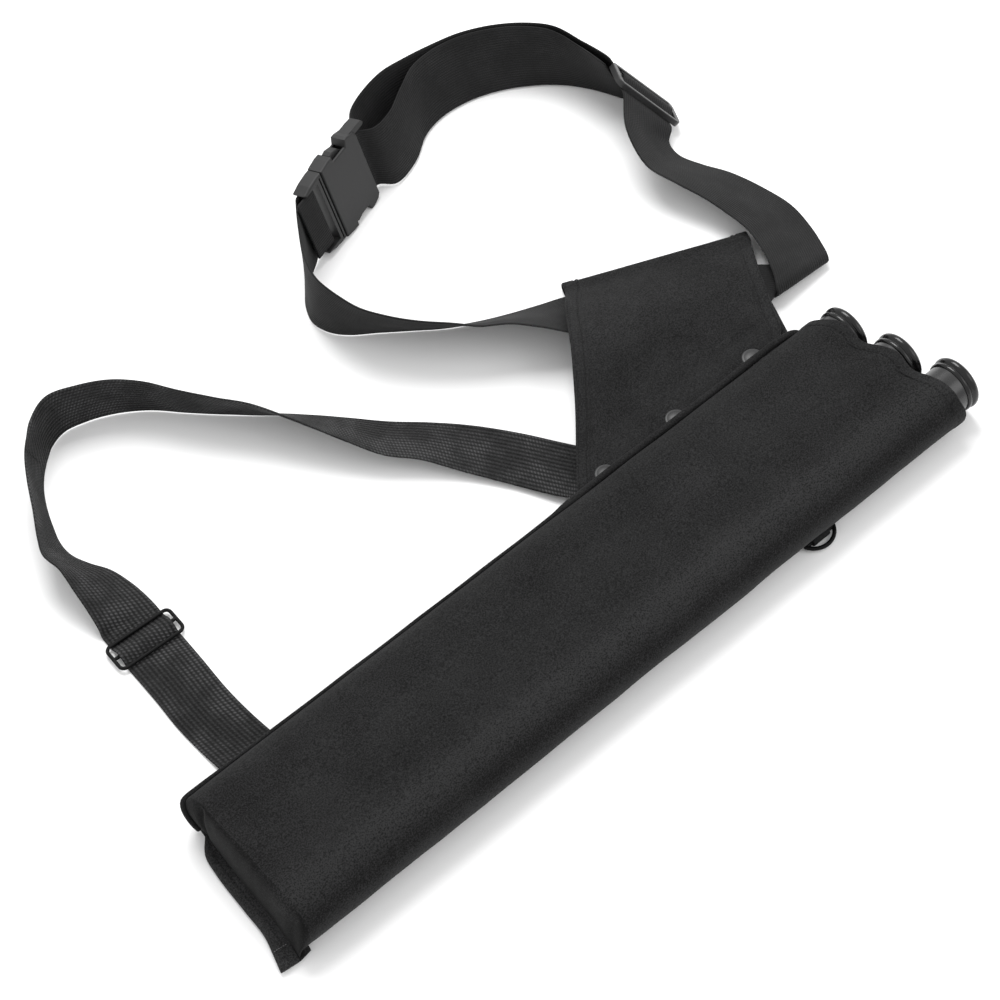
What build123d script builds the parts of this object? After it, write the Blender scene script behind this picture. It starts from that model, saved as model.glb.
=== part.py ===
"""Three-tube archery quiver: padded fabric sleeve, hanger flap, waist belt and shoulder strap.

Frame: +X along the tubes toward their mouths, +Y across the sleeve toward the back seam,
+Z up.  The origin is the centre of the sleeve's flat underside.  Millimetres.
"""
from build123d import *
from math import cos, radians, sin
import os

# ---------------------------------------------------------------- driving dimensions
TUBE_OD = 34.0
TUBE_WALL = 1.5
TUBE_PITCH = 38.2
TUBE_MIDDLE_Y = 1.3
TUBE_FOOT_X = -262.0
RING_OD = 38.0
RING_LENGTH = 9.5
RING_SOCKET = 7.0
RING_START_X = (250.5, 262.0, 275.5)
PLUG_LENGTH = 8.0
PLUG_SEAT = 0.4
SLEEVE_FLAT = 77.0

PADDING = 3.5
COVER_THICKNESS = 1.0
FIT = 0.3
BORE_FLOOR_X = TUBE_FOOT_X - 0.5
BOTTOM_TOP_X = -277.0
BOTTOM_BASE_X = -284.0
MOUTH_BACK_X = 237.5
MOUTH_FRONT_X = 266.5
FACING_THICKNESS = 2.0
FACING_RECESS = 4.0

BELT_WIDTH = 50.0
STRAP_WIDTH = 40.0
WEBBING = 1.6

PANEL_THICKNESS = 1.2
PANEL_ROOT_Z = 12.0
PANEL_SLOPE = 0.07
PANEL_GAP = 4.2

SNAP_CAP_R = 6.5
SNAP_XY = ((65.0, 67.0), (128.0, 68.0), (199.0, 69.5))

BUCKLE_LEAN = 18.0
BUCKLE_HEADING = 197.8
BUCKLE_ORIGIN = (106.3, 356.7, 29.2)
BUCKLE_THICKNESS = 12.0
FEMALE_LENGTH = 42.0
LATCH_ROOT_BACK = 1.8
LATCH_ROOT_Y = 22.5

SLIDER_LENGTH = 62.0
SLIDER_WIDTH = 26.0
SLIDER_THICKNESS = 4.2
STRAP_SLIDER_LENGTH = 50.0
STRAP_SLIDER_WIDTH = 21.0
STRAP_SLIDER_WIRE = 2.4

RING_WIRE = 2.8
D_RING_X = 141.0
D_RING_WIDTH = 25.0
D_RING_DEPTH = 7.5
D_RING_BAR_Y = -54.5
D_RING_BAR_Z = 3.2

# ---------------------------------------------------------------- derived dimensions
TUBE_R = TUBE_OD / 2
BORE_R = TUBE_R - TUBE_WALL
TUBE_Y = (TUBE_MIDDLE_Y + TUBE_PITCH, TUBE_MIDDLE_Y, TUBE_MIDDLE_Y - TUBE_PITCH)
SLEEVE_R = TUBE_R + PADDING
TUBE_Z = SLEEVE_R
SLEEVE_LENGTH = MOUTH_FRONT_X - BOTTOM_BASE_X
SLEEVE_WIDTH = SLEEVE_FLAT + 2 * SLEEVE_R
MOUTH_SLOPE = (MOUTH_FRONT_X - MOUTH_BACK_X) / SLEEVE_WIDTH

U = Vector(cos(radians(BUCKLE_HEADING)), sin(radians(BUCKLE_HEADING)), 0)
FRONT = Vector(
    -cos(radians(BUCKLE_LEAN)) * U.Y,
    cos(radians(BUCKLE_LEAN)) * U.X,
    sin(radians(BUCKLE_LEAN)),
)
BUCKLE = Plane(origin=BUCKLE_ORIGIN, x_dir=U, z_dir=FRONT)

# the belt slider leans with the webbing: its long side rises from the table
SLIDER_RUN = Vector(0.46, 0.84, -0.27).normalized()
SLIDER_RISE = Vector(-0.54, 0.42, 0.73).normalized()
SLIDER = Plane(origin=(294, 273, 26), x_dir=SLIDER_RUN, z_dir=SLIDER_RUN.cross(SLIDER_RISE))

STRAP_SLIDER = Plane(origin=(-227, 172, 3.4), x_dir=(-0.04, -1, 0), z_dir=(0, 0, 1))

os.makedirs("parts", exist_ok=True)


def save(part, name):
    """Label a finished piece and write it under its node name."""
    part.label = name
    export_step(part, f"parts/{name}.step")


# ---------------------------------------------------------------- webbing
def lean(x, y, z, dx, dy, dz, width):
    """One station: the edge point nearest the table, and the way to the other edge."""
    across = Vector(dx, dy, dz).normalized()
    return Vector(x, y, z) + across * (width / 2), across


def in_plane(plane, run, rise, across=None, width=0.0):
    """A station given in a fitting's own plane, width along its local Y."""
    centre = plane.from_local_coords(Vector(run, width, rise))
    return centre, (across or plane.y_dir)


def section_planes(stations):
    """Planes square to the webbing at each station."""
    planes = []
    for index, (centre, across) in enumerate(stations):
        before = stations[max(index - 1, 0)][0]
        after = stations[min(index + 1, len(stations) - 1)][0]
        travel = after - before
        normal = travel - across * travel.dot(across)
        planes.append(Plane(origin=centre, x_dir=across, z_dir=normal.normalized()))
    return planes


def webbing(name, stations, width):
    """A ruled strip of webbing through its stations."""
    with BuildPart() as strip:
        for plane in section_planes(stations):
            with BuildSketch(plane):
                Rectangle(width, WEBBING)
        loft(ruled=True)
    save(strip.part, name)


# ---------------------------------------------------------------- sleeve
def sleeve_profile(inset):
    """The stadium section round three tubes lying side by side."""
    radius = SLEEVE_R - inset
    SlotCenterToCenter(SLEEVE_FLAT, 2 * radius)


def sleeve_blank(inset, mouth_inset, foot_inset):
    """A stadium bar with its slanted mouth and its slanted foot."""
    foot = BOTTOM_BASE_X + foot_inset
    foot_top = BOTTOM_TOP_X + foot_inset
    front = MOUTH_FRONT_X - mouth_inset
    back = MOUTH_BACK_X - mouth_inset
    half = SLEEVE_WIDTH / 2
    with BuildPart() as blank:
        with BuildSketch(Plane.YZ.offset(foot)):
            with Locations((0, TUBE_Z)):
                sleeve_profile(inset)
        extrude(amount=front - foot)
        with BuildSketch(Plane.XY.offset(-1)):
            with BuildLine():
                Polyline(
                    (foot - 1, -half - 1),
                    (front + MOUTH_SLOPE, -half - 1),
                    (back - MOUTH_SLOPE, half + 1),
                    (foot - 1, half + 1),
                    close=True,
                )
            make_face()
        extrude(amount=2 * SLEEVE_R + 2, mode=Mode.INTERSECT)
        with BuildSketch(Plane.XZ.offset(-half - 1)):
            with BuildLine():
                Polyline(
                    (foot, 0),
                    (front + 1, -1),
                    (front + 1, 2 * SLEEVE_R + 1),
                    (foot_top, 2 * SLEEVE_R),
                    close=True,
                )
            make_face()
        extrude(amount=2 * half + 2, mode=Mode.INTERSECT)
    return blank.part


def make_sleeve():
    """Fabric cover, padded liner with three bores, and the facing between the tubes."""
    skin = COVER_THICKNESS + 0.05
    outer = sleeve_blank(0, 0, 0)
    hollow = sleeve_blank(COVER_THICKNESS, -10, COVER_THICKNESS)
    with BuildPart() as cover:
        add(outer)
        add(hollow, mode=Mode.SUBTRACT)
    save(cover.part, "sleeve_cover")

    with BuildPart() as liner:
        add(sleeve_blank(skin, FACING_RECESS + FACING_THICKNESS + 0.1, skin))
        for y in TUBE_Y:
            with BuildSketch(Plane.YZ.offset(BORE_FLOOR_X)):
                with Locations((y, TUBE_Z)):
                    Circle(TUBE_R + FIT)
            extrude(amount=SLEEVE_LENGTH, mode=Mode.SUBTRACT)
    save(liner.part, "padded_liner")

    facing_back = sleeve_blank(0, FACING_RECESS + FACING_THICKNESS, 0)
    with BuildPart() as facing:
        add(sleeve_blank(skin, FACING_RECESS, skin))
        add(facing_back, mode=Mode.SUBTRACT)
        for y in TUBE_Y:
            with BuildSketch(Plane.YZ.offset(BORE_FLOOR_X)):
                with Locations((y, TUBE_Z)):
                    Circle(TUBE_R + FIT)
            extrude(amount=SLEEVE_LENGTH + 20, mode=Mode.SUBTRACT)
    save(facing.part, "mouth_facing")


def make_back_seam():
    """Piping cord of the back seam, turned down round the foot of the sleeve."""
    cord_r = 1.5
    seam_angle = radians(25)
    seam_y = SLEEVE_FLAT / 2 + (SLEEVE_R + cord_r) * cos(seam_angle)
    seam_z = TUBE_Z + (SLEEVE_R + cord_r) * sin(seam_angle)
    end_x = BOTTOM_BASE_X - cord_r - 0.8
    with BuildPart() as piping:
        with BuildLine():
            FilletPolyline(
                (MOUTH_BACK_X - 4, seam_y, seam_z),
                (BOTTOM_TOP_X - 3.6, seam_y, seam_z),
                (end_x, 50, 20),
                (end_x, 44, 5),
                radius=5,
            )
        with BuildSketch(Plane(origin=(MOUTH_BACK_X - 4, seam_y, seam_z), z_dir=(-1, 0, 0))):
            Circle(cord_r)
        sweep()
    save(piping.part, "back_seam_piping")


def make_bottom_hem():
    """Flat bound edge that closes the foot and lies on the table."""
    with BuildPart() as hem:
        with BuildSketch(Plane.XY.offset(1.0)):
            with BuildLine():
                Spline((-285.3, 38), (-294, 22), (-297, -10), (-299, -36), (-305, -56))
                Polyline((-305, -56), (-293, -59), (-285.3, -52), (-285.3, 38))
            make_face()
        extrude(amount=3)
        fillet(hem.edges().group_by(Axis.Z)[-1], 0.8)
    save(hem.part, "bottom_hem")


# ---------------------------------------------------------------- tubes
def make_tube(number, y, ring_x):
    """One plastic tube with its flared double-bead mouth ring and its end plug."""
    with BuildPart() as tube:
        with BuildSketch(Plane.YZ.offset(TUBE_FOOT_X)):
            with Locations((y, TUBE_Z)):
                Circle(TUBE_R)
                Circle(BORE_R, mode=Mode.SUBTRACT)
        extrude(amount=ring_x + RING_SOCKET - TUBE_FOOT_X)
        with BuildSketch(Plane.YZ.offset(TUBE_FOOT_X)):
            with Locations((y, TUBE_Z)):
                Circle(BORE_R + PLUG_SEAT)
        extrude(amount=PLUG_LENGTH, mode=Mode.SUBTRACT)
    save(tube.part, f"tube_{number}")

    groove_r = TUBE_R + 0.9
    near_r = RING_OD / 2 - 0.6
    far_r = RING_OD / 2
    axis = Plane(origin=(ring_x, y, TUBE_Z), x_dir=(1, 0, 0), z_dir=(0, -1, 0))
    with BuildPart() as ring:
        with BuildSketch(axis):
            with BuildLine():
                Polyline(
                    (RING_LENGTH, BORE_R + 0.8),
                    (RING_LENGTH - 0.8, BORE_R),
                    (RING_SOCKET + 0.05, BORE_R),
                    (RING_SOCKET + 0.05, TUBE_R + 0.05),
                    (0, TUBE_R + 0.05),
                    (0, near_r - 0.9),
                )
                ThreePointArc((0, near_r - 0.9), (1.9, near_r), (3.6, near_r - 0.9))
                Line((3.6, near_r - 0.9), (4.2, groove_r))
                ThreePointArc((4.2, groove_r), (6.8, far_r), (RING_LENGTH, groove_r - 0.6))
                Line((RING_LENGTH, groove_r - 0.6), (RING_LENGTH, BORE_R + 0.8))
            make_face()
        revolve(axis=Axis((0, y, TUBE_Z), (1, 0, 0)))
    save(ring.part, f"mouth_ring_{number}")

    with BuildPart() as plug:
        with BuildSketch(Plane.YZ.offset(TUBE_FOOT_X)):
            with Locations((y, TUBE_Z)):
                Circle(BORE_R + PLUG_SEAT - 0.05)
        extrude(amount=PLUG_LENGTH)
        chamfer(plug.edges().group_by(Axis.X)[-1], 0.8)
    save(plug.part, f"end_plug_{number}")


# ---------------------------------------------------------------- hanger flap
PANEL_PLANE = Plane(origin=(0, 60, PANEL_ROOT_Z), x_dir=(1, 0, 0), z_dir=(0, PANEL_SLOPE, 1))
FOLD_LEFT = (151.5, 203.0)
FOLD_RIGHT = (273.5, 150.0)
FOLD_SETBACK = 5.0


def panel_z(y):
    """Height of the back panel's middle at a distance across the sleeve."""
    return PANEL_ROOT_Z - PANEL_SLOPE * (y - 60)


def on_panel(points):
    """Plan points laid onto the sloping panel plane."""
    stretch = (1 + PANEL_SLOPE**2) ** 0.5
    return [(x, (y - 60) * stretch) for x, y in points]


def on_front(x, y, lift=0.0):
    """A point of the front flap, lifted where the belt stands on its edge inside."""
    return Vector(x, y, panel_z(y) + PANEL_GAP + lift)


def fold_points(setback):
    """The fold line moved toward the sleeve, left end and right end."""
    dx = FOLD_RIGHT[0] - FOLD_LEFT[0]
    dy = FOLD_RIGHT[1] - FOLD_LEFT[1]
    length = (dx**2 + dy**2) ** 0.5
    nx = dy / length
    ny = -dx / length
    left = (FOLD_LEFT[0] + nx * setback - 1.6, FOLD_LEFT[1] + ny * setback)
    right = (FOLD_RIGHT[0] + nx * setback, FOLD_RIGHT[1] + ny * setback)
    return left, right


def make_hanger():
    """Back panel sewn to the seam, front flap that snaps over it, and the fold between."""
    left, right = fold_points(FOLD_SETBACK)
    half = PANEL_THICKNESS / 2
    with BuildPart() as back:
        with BuildSketch(PANEL_PLANE.offset(-half)):
            with BuildLine():
                outline = [(34, 57.6), (99, 131), left, right, (251, 112), (241, 86), (233, 68), (229, 57.6)]
                Polyline(*on_panel(outline), close=True)
            make_face()
        extrude(amount=PANEL_THICKNESS)
    save(back.part, "hanger_back_panel")

    rows = [
        (on_front(36, 60), on_front(216, 60)),
        (on_front(44, 70), on_front(228, 70)),
        (on_front(57, 84), on_front(238, 84)),
        (on_front(70, 98, 3), on_front(244, 97)),
        (on_front(91, 124, 13), on_front(251, 113)),
        (on_front(110, 149, 23), on_front(258, 124)),
        (on_front(127, 170, 15), on_front(264, 134)),
        (on_front(*left), on_front(*right)),
    ]
    middles = [((start + end) / 2, (end - start).normalized()) for start, end in rows]
    with BuildPart() as front:
        for plane, (start, end) in zip(section_planes(middles), rows):
            with BuildSketch(plane):
                Rectangle((end - start).length, PANEL_THICKNESS)
        loft(ruled=True)
        with BuildSketch(PANEL_PLANE.offset(PANEL_GAP - PANEL_THICKNESS)):
            with Locations(*on_panel(SNAP_XY)):
                Circle(1.8)
        extrude(amount=2 * PANEL_THICKNESS, mode=Mode.SUBTRACT)
    save(front.part, "flap_front")

    outer_r = PANEL_GAP / 2 + half
    inner_r = PANEL_GAP / 2 - half
    gap_left, gap_right = fold_points(FOLD_SETBACK - 0.3)
    start = PANEL_PLANE.from_local_coords(Vector(*on_panel([gap_left])[0], PANEL_GAP / 2))
    end = PANEL_PLANE.from_local_coords(Vector(*on_panel([gap_right])[0], PANEL_GAP / 2))
    along = (end - start).normalized()
    outward = PANEL_PLANE.z_dir.cross(along)
    reach = FOLD_SETBACK - outer_r
    with BuildPart() as fold:
        with BuildSketch(Plane(origin=start, x_dir=outward, z_dir=along)):
            with Locations((reach / 2, 0)):
                Rectangle(reach, 2 * outer_r)
            with Locations((reach, 0)):
                Circle(outer_r)
                Circle(inner_r, mode=Mode.SUBTRACT)
            with Locations((reach / 2 - 0.5, 0)):
                Rectangle(reach + 1, 2 * inner_r, mode=Mode.SUBTRACT)
        extrude(amount=(end - start).length)
    save(fold.part, "flap_fold")


def make_snaps():
    """Three press studs: cap and socket on the flap, stud and post on the back panel."""
    half = PANEL_THICKNESS / 2
    places = on_panel(SNAP_XY)
    top = PANEL_PLANE.offset(PANEL_GAP + half)
    under = PANEL_PLANE.offset(PANEL_GAP - half - 0.05)
    with BuildPart() as caps:
        with BuildSketch(top):
            with Locations(*places):
                Circle(SNAP_CAP_R)
        extrude(amount=1.4)
        fillet(caps.edges().group_by(SortBy.LENGTH)[-1].group_by(Axis.Z)[-1], 0.9)
        with BuildSketch(top):
            with Locations(*places):
                Circle(1.6)
        extrude(amount=-PANEL_THICKNESS)
    save(caps.part, "snap_caps")

    with BuildPart() as sockets:
        with BuildSketch(under):
            with Locations(*places):
                Circle(5.6)
        extrude(amount=-1.5)
        with BuildSketch(under.offset(-0.4)):
            with Locations(*places):
                Circle(2.6)
        extrude(amount=-1.2, mode=Mode.SUBTRACT)
    save(sockets.part, "snap_sockets")

    base = PANEL_PLANE.offset(half)
    with BuildPart() as studs:
        with BuildSketch(base):
            with Locations(*places):
                Circle(5.2)
        extrude(amount=0.8)
        with BuildSketch(base.offset(0.8)):
            with Locations(*places):
                Circle(2.2)
        extrude(amount=1.6)
    save(studs.part, "snap_studs")

    with BuildPart() as posts:
        with BuildSketch(PANEL_PLANE.offset(-half)):
            with Locations(*places):
                Circle(5.0)
        extrude(amount=-0.8)
    save(posts.part, "snap_posts")


# ---------------------------------------------------------------- buckle and sliders
def buckle_point(run, rise=0.0):
    """Middle of the webbing at a place along the buckle."""
    return in_plane(BUCKLE, run, rise, across=-BUCKLE.y_dir)


def make_female_buckle():
    """Hollow socket half: open front, side windows for the latches, and a webbing bar."""
    half_t = BUCKLE_THICKNESS / 2
    end = FEMALE_LENGTH
    with BuildPart() as female:
        with BuildSketch(BUCKLE.offset(-half_t)):
            with BuildLine():
                Polyline(
                    (0, -27.5), (2.5, -30.5), (9, -32.5), (12, -32.5), (14, -27.5),
                    (28, -27.5), (28.6, -31.8), (33, -32), (end, -30.5),
                    (end, 30.5), (33, 32), (28.6, 31.8), (28, 27.5),
                    (14, 27.5), (12, 32.5), (9, 32.5), (2.5, 30.5), (0, 27.5), close=True,
                )
            make_face()
        extrude(amount=BUCKLE_THICKNESS)
        fillet(female.faces().sort_by(Axis((0, 0, 0), FRONT))[-1].edges(), 1.2)
        fillet(female.faces().sort_by(Axis((0, 0, 0), FRONT))[0].edges(), 0.8)
        with BuildSketch(BUCKLE.offset(-half_t + 1.8)):
            with Locations((13.2 + end / 2, 0)):
                Rectangle(end, 55.4)
        extrude(amount=BUCKLE_THICKNESS - 3.6, mode=Mode.SUBTRACT)
        with BuildSketch(BUCKLE.offset(-half_t - 1)):
            with Locations((2.9, 0)):
                Rectangle(17.4, 51)
        extrude(amount=half_t + 1 + 2.6, mode=Mode.SUBTRACT)
        with BuildSketch(BUCKLE.offset(-half_t + 1.5)):
            with BuildLine():
                Polyline(
                    (6, -26.8), (-9.5, -26.8), (-11.2, -28.3), (-9.6, -30.8), (-3, -31.5), (6, -31.5),
                    close=True,
                )
            make_face()
        extrude(amount=BUCKLE_THICKNESS - 3)
        with BuildSketch(BUCKLE.offset(-2.6)):
            with Locations((7.2, 0)):
                Rectangle(3.4, 53)
        extrude(amount=3.0)
    save(female.part, "buckle_female")


def make_male_buckle():
    """Plug half: shoulder, centre guide tongue and webbing bar."""
    shoulder = FEMALE_LENGTH + 0.4
    with BuildPart() as male:
        with BuildSketch(BUCKLE.offset(-5.4)):
            with BuildLine():
                Polyline(
                    (shoulder, -30), (shoulder + 5, -30), (shoulder + 13, -29), (shoulder + 20, -27),
                    (shoulder + 20, 27), (shoulder + 13, 29), (shoulder + 5, 30), (shoulder, 30),
                    close=True,
                )
            make_face()
        extrude(amount=10.8)
        fillet(male.faces().sort_by(Axis((0, 0, 0), FRONT))[-1].edges(), 1.5)
        with BuildSketch(BUCKLE.offset(-6)):
            with Locations((shoulder + 13.5, 0)):
                Rectangle(15, 51.4)
        extrude(amount=12, mode=Mode.SUBTRACT)
        with BuildSketch(BUCKLE.offset(4.2)):
            with Locations((shoulder + 3, 0)):
                Rectangle(1.2, 56)
        extrude(amount=2, mode=Mode.SUBTRACT)
        with BuildSketch(BUCKLE.offset(-1.6)):
            with Locations((shoulder + 13, 0)):
                Rectangle(3.2, 53)
        extrude(amount=3.2)
        with BuildSketch(BUCKLE.offset(-2.2)):
            with Locations((shoulder - 12, 0)):
                Rectangle(24.2, 9)
        extrude(amount=4.4)
    save(male.part, "buckle_male")


def make_latch_arm(name, side):
    """Springy side arm: rounded root by the male shoulder, barbed head in the female window."""
    root = FEMALE_LENGTH - LATCH_ROOT_BACK
    with BuildPart() as arm:
        with BuildSketch(BUCKLE.offset(-3.2)):
            with BuildLine():
                Polyline(
                    (root, side * (LATCH_ROOT_Y + 2)),
                    (28.0, side * 25.8),
                    (27.6, side * 31.0),
                    (24.5, side * 31.8),
                    (18.5, side * 30.0),
                    (14.8, side * 25.5),
                    (18.0, side * 22.6),
                    (root, side * (LATCH_ROOT_Y - 2)),
                    close=True,
                )
            make_face()
            with Locations((root, side * LATCH_ROOT_Y)):
                Circle(2)
        extrude(amount=6.4)
        fillet(arm.faces().sort_by(Axis((0, 0, 0), FRONT))[-1].edges(), 0.6)
    save(arm.part, name)


def make_belt_slider():
    """Moulded three-bar slider that sets the belt's length."""
    with BuildPart() as slider:
        with BuildSketch(SLIDER.offset(-SLIDER_THICKNESS / 2)):
            RectangleRounded(SLIDER_WIDTH, SLIDER_LENGTH, 5)
            with Locations((5.75, 0), (-5.75, 0)):
                Rectangle(8.5, BELT_WIDTH + 3, mode=Mode.SUBTRACT)
        extrude(amount=SLIDER_THICKNESS)
        fillet(slider.faces().sort_by(Axis((0, 0, 0), SLIDER.z_dir))[-1].edges(), 0.6)
    save(slider.part, "belt_slider")


def make_strap_slider():
    """Bent-wire three-bar slider on the shoulder strap."""
    wire = STRAP_SLIDER_WIRE / 2
    half_w = STRAP_SLIDER_WIDTH / 2 - wire
    half_l = STRAP_SLIDER_LENGTH / 2 - wire
    with BuildPart() as slider:
        with BuildLine():
            FilletPolyline(
                (0, half_l), (half_w, half_l), (half_w, -half_l), (0, -half_l), radius=3.5,
            )
            FilletPolyline(
                (0, -half_l), (-half_w, -half_l), (-half_w, half_l), (0, half_l), radius=3.5,
            )
        with BuildSketch(Plane(origin=(0, half_l, 0), z_dir=(1, 0, 0))):
            Circle(wire)
        sweep()
        with BuildSketch(Plane.XZ.offset(-half_l)):
            Circle(wire)
        extrude(amount=2 * half_l)
    placed = STRAP_SLIDER * slider.part
    save(placed, "strap_slider")


# ---------------------------------------------------------------- ring on the front edge
def make_d_ring():
    """Wire D-ring and the folded webbing tab that holds its straight side."""
    wire = RING_WIRE / 2
    half = D_RING_WIDTH / 2
    left = (D_RING_X - half, D_RING_BAR_Y, D_RING_BAR_Z)
    right = (D_RING_X + half, D_RING_BAR_Y, D_RING_BAR_Z)
    crown = (D_RING_X, D_RING_BAR_Y - D_RING_DEPTH, D_RING_BAR_Z)
    with BuildPart() as ring:
        with BuildLine() as bow:
            ThreePointArc(left, crown, right)
        with BuildSketch(Plane(origin=left, z_dir=bow.line % 0)):
            Circle(wire)
        sweep()
        with BuildSketch(Plane(origin=left, z_dir=(1, 0, 0))):
            Circle(wire)
        extrude(amount=D_RING_WIDTH)
        with Locations(left, right):
            Sphere(wire)
    save(ring.part, "d_ring")

    with BuildPart() as tab:
        with BuildSketch(Plane.YZ.offset(D_RING_X - 7)):
            with Locations((D_RING_BAR_Y, D_RING_BAR_Z)):
                Circle(wire + 1.5)
            with Locations((D_RING_BAR_Y + 3.5, D_RING_BAR_Z - 1.2)):
                Rectangle(5, 1.2)
            with Locations((D_RING_BAR_Y, D_RING_BAR_Z)):
                Circle(wire + 0.35, mode=Mode.SUBTRACT)
        extrude(amount=14)
    save(tab.part, "d_ring_tab")


# ---------------------------------------------------------------- belt and strap routes
def belt(*values):
    """A belt station: table edge x, y, z and the way to the other edge."""
    return lean(*values, BELT_WIDTH)


def strap(*values):
    """A shoulder-strap station: table edge x, y, z and the way to the other edge."""
    return lean(*values, STRAP_WIDTH)


def in_tunnel(x, y, dx, dy):
    """The belt lying between the two panels, parallel to them."""
    return belt(x, y, panel_z(y) + PANEL_GAP / 2, dx, dy, -dy * PANEL_SLOPE)


def at_slider(run, rise):
    """The belt passing through the slider."""
    return in_plane(SLIDER, run, rise, across=SLIDER.y_dir)


def at_strap_slider(run, rise):
    """The shoulder strap passing through its slider."""
    return in_plane(STRAP_SLIDER, run, rise, across=-STRAP_SLIDER.y_dir)


def make_belt():
    """The waist belt, from the male half through the flap to the female half."""
    bar = FEMALE_LENGTH + 13.4
    webbing("belt_left_run", [
        buckle_point(bar + 2.8, -2.6),
        buckle_point(bar + 8, -2.6),
        belt(40, 327, 2, 1, 18, 46),
        belt(32, 322, 1, -3, 6, 50),
        belt(20.5, 314, 1, -3, -5, 50),
        belt(11.5, 303, 1, 1, -8, 50),
        belt(7, 291, 1, 4, -7, 50),
        belt(10, 278, 1, 3, -11, 49),
        belt(19, 267, 1, -2, -15, 48),
        belt(34, 256, 1, -8, -18, 46),
        belt(54, 241, 1, -13, -21, 44),
        belt(73, 227, 1, -16, -22, 42),
        belt(91, 217, 1, -20, -24, 39),
        belt(110, 208, 1.5, -22, -25, 36),
        belt(128, 200, 3.0, -24, -31, 30),
        belt(144, 193, 4.6, -26, -36, 22),
        belt(161, 184, 5.4, -25, -41, 13),
        belt(180, 173, 6.1, -24, -43, 5),
    ], BELT_WIDTH)
    webbing("belt_tail", [
        buckle_point(bar, 2.6),
        buckle_point(bar + 4, 2.6),
        buckle_point(bar + 9, 2.6),
        buckle_point(bar + 14, 2.8),
    ], BELT_WIDTH - 2)
    webbing("belt_tunnel_run", [
        belt(181, 172.5, 6.2, -24, -43, 5),
        in_tunnel(205, 160, -24, -44),
        in_tunnel(240, 141, -24, -44),
        belt(264, 131, 8.4, -31, -39, 3.6),
        belt(285, 118, 5.0, -42, -26, 6.6),
        belt(296, 110, 2.9, -49, -9, 3.8),
        belt(299, 103, 2.8, -50, -1, 3),
    ], BELT_WIDTH)
    webbing("belt_right_run", [
        belt(299, 102.2, 2.8, -50, -1, 3),
        belt(299.5, 98.0, 2.8, -50, 0, 3),
        belt(300, 95.6, 5.8, -50, 0, 5),
        belt(301, 98.0, 8.8, -50, 0, 6),
        belt(306, 108, 6.5, -48, -2, 9),
        belt(313, 126, 3, -48, -3, 13),
        belt(317, 149, 1.2, -47, -5, 16),
        belt(313, 174, 1, -46, -10, 19),
        belt(306, 196, 1, -43, -13, 22),
        belt(296, 215, 1, -40, -14, 26),
        belt(289, 231, 2, -40, -6, 29),
        belt(288.5, 241, 7, -34, 10, 35),
        at_slider(-16, -3.05),
        at_slider(-9.6, -3.05),
        at_slider(-1.7, 3.05),
        at_slider(1.7, 3.05),
        at_slider(9.6, -3.05),
        at_slider(15, -3.05),
    ], BELT_WIDTH)
    webbing("belt_loop_back", [
        at_slider(15.2, -3.05),
        belt(302.5, 297, 1, -16, 4, 47),
        belt(290, 320, 1, -8, 5, 49),
        belt(276, 338, 1, 1, 10, 49),
        belt(258.5, 352, 1, 4, 14, 48),
        belt(242, 362, 1, 3, 18, 46),
        belt(222, 370, 1, 2, 20, 46),
        belt(201, 376, 1, 1, 22, 45),
        belt(180, 378, 1, 0, 23, 44),
        belt(160, 377, 1, 0, 23, 44),
        belt(141, 372, 1, -1, 22, 45),
        belt(124, 365, 2, -3, 19, 46),
        buckle_point(-6, -5.2),
        buckle_point(2, -4.0),
        buckle_point(8.2, -3.7),
    ], BELT_WIDTH)
    webbing("belt_loop_front", [
        buckle_point(10.4, -1.4),
        buckle_point(10.2, 0.7),
        buckle_point(8.8, 1.6),
        buckle_point(1, 1.5),
        buckle_point(-7, -0.4),
        belt(128, 346.5, 2.5, -5, 17, 47),
        belt(148, 351.5, 1, -8, 15, 47),
        belt(168, 362, 1, -9, 14, 47),
        belt(185, 367, 1, -6, 20, 46),
        belt(201, 367.5, 1, -2, 22, 45),
        belt(220, 364, 1, 1, 22, 45),
        belt(238, 357, 1, 3, 19, 46),
        belt(254, 347.5, 1, 4, 15, 48),
        belt(270.5, 334, 1, 0, 11, 49),
        belt(284, 317, 1, -9, 5, 49),
        belt(295.5, 296, 1, -17, 4, 47),
        at_slider(15, -6.0),
        at_slider(8, -5.8),
        at_slider(3, -4.4),
        at_slider(-2.5, -3.6),
    ], BELT_WIDTH)


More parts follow.
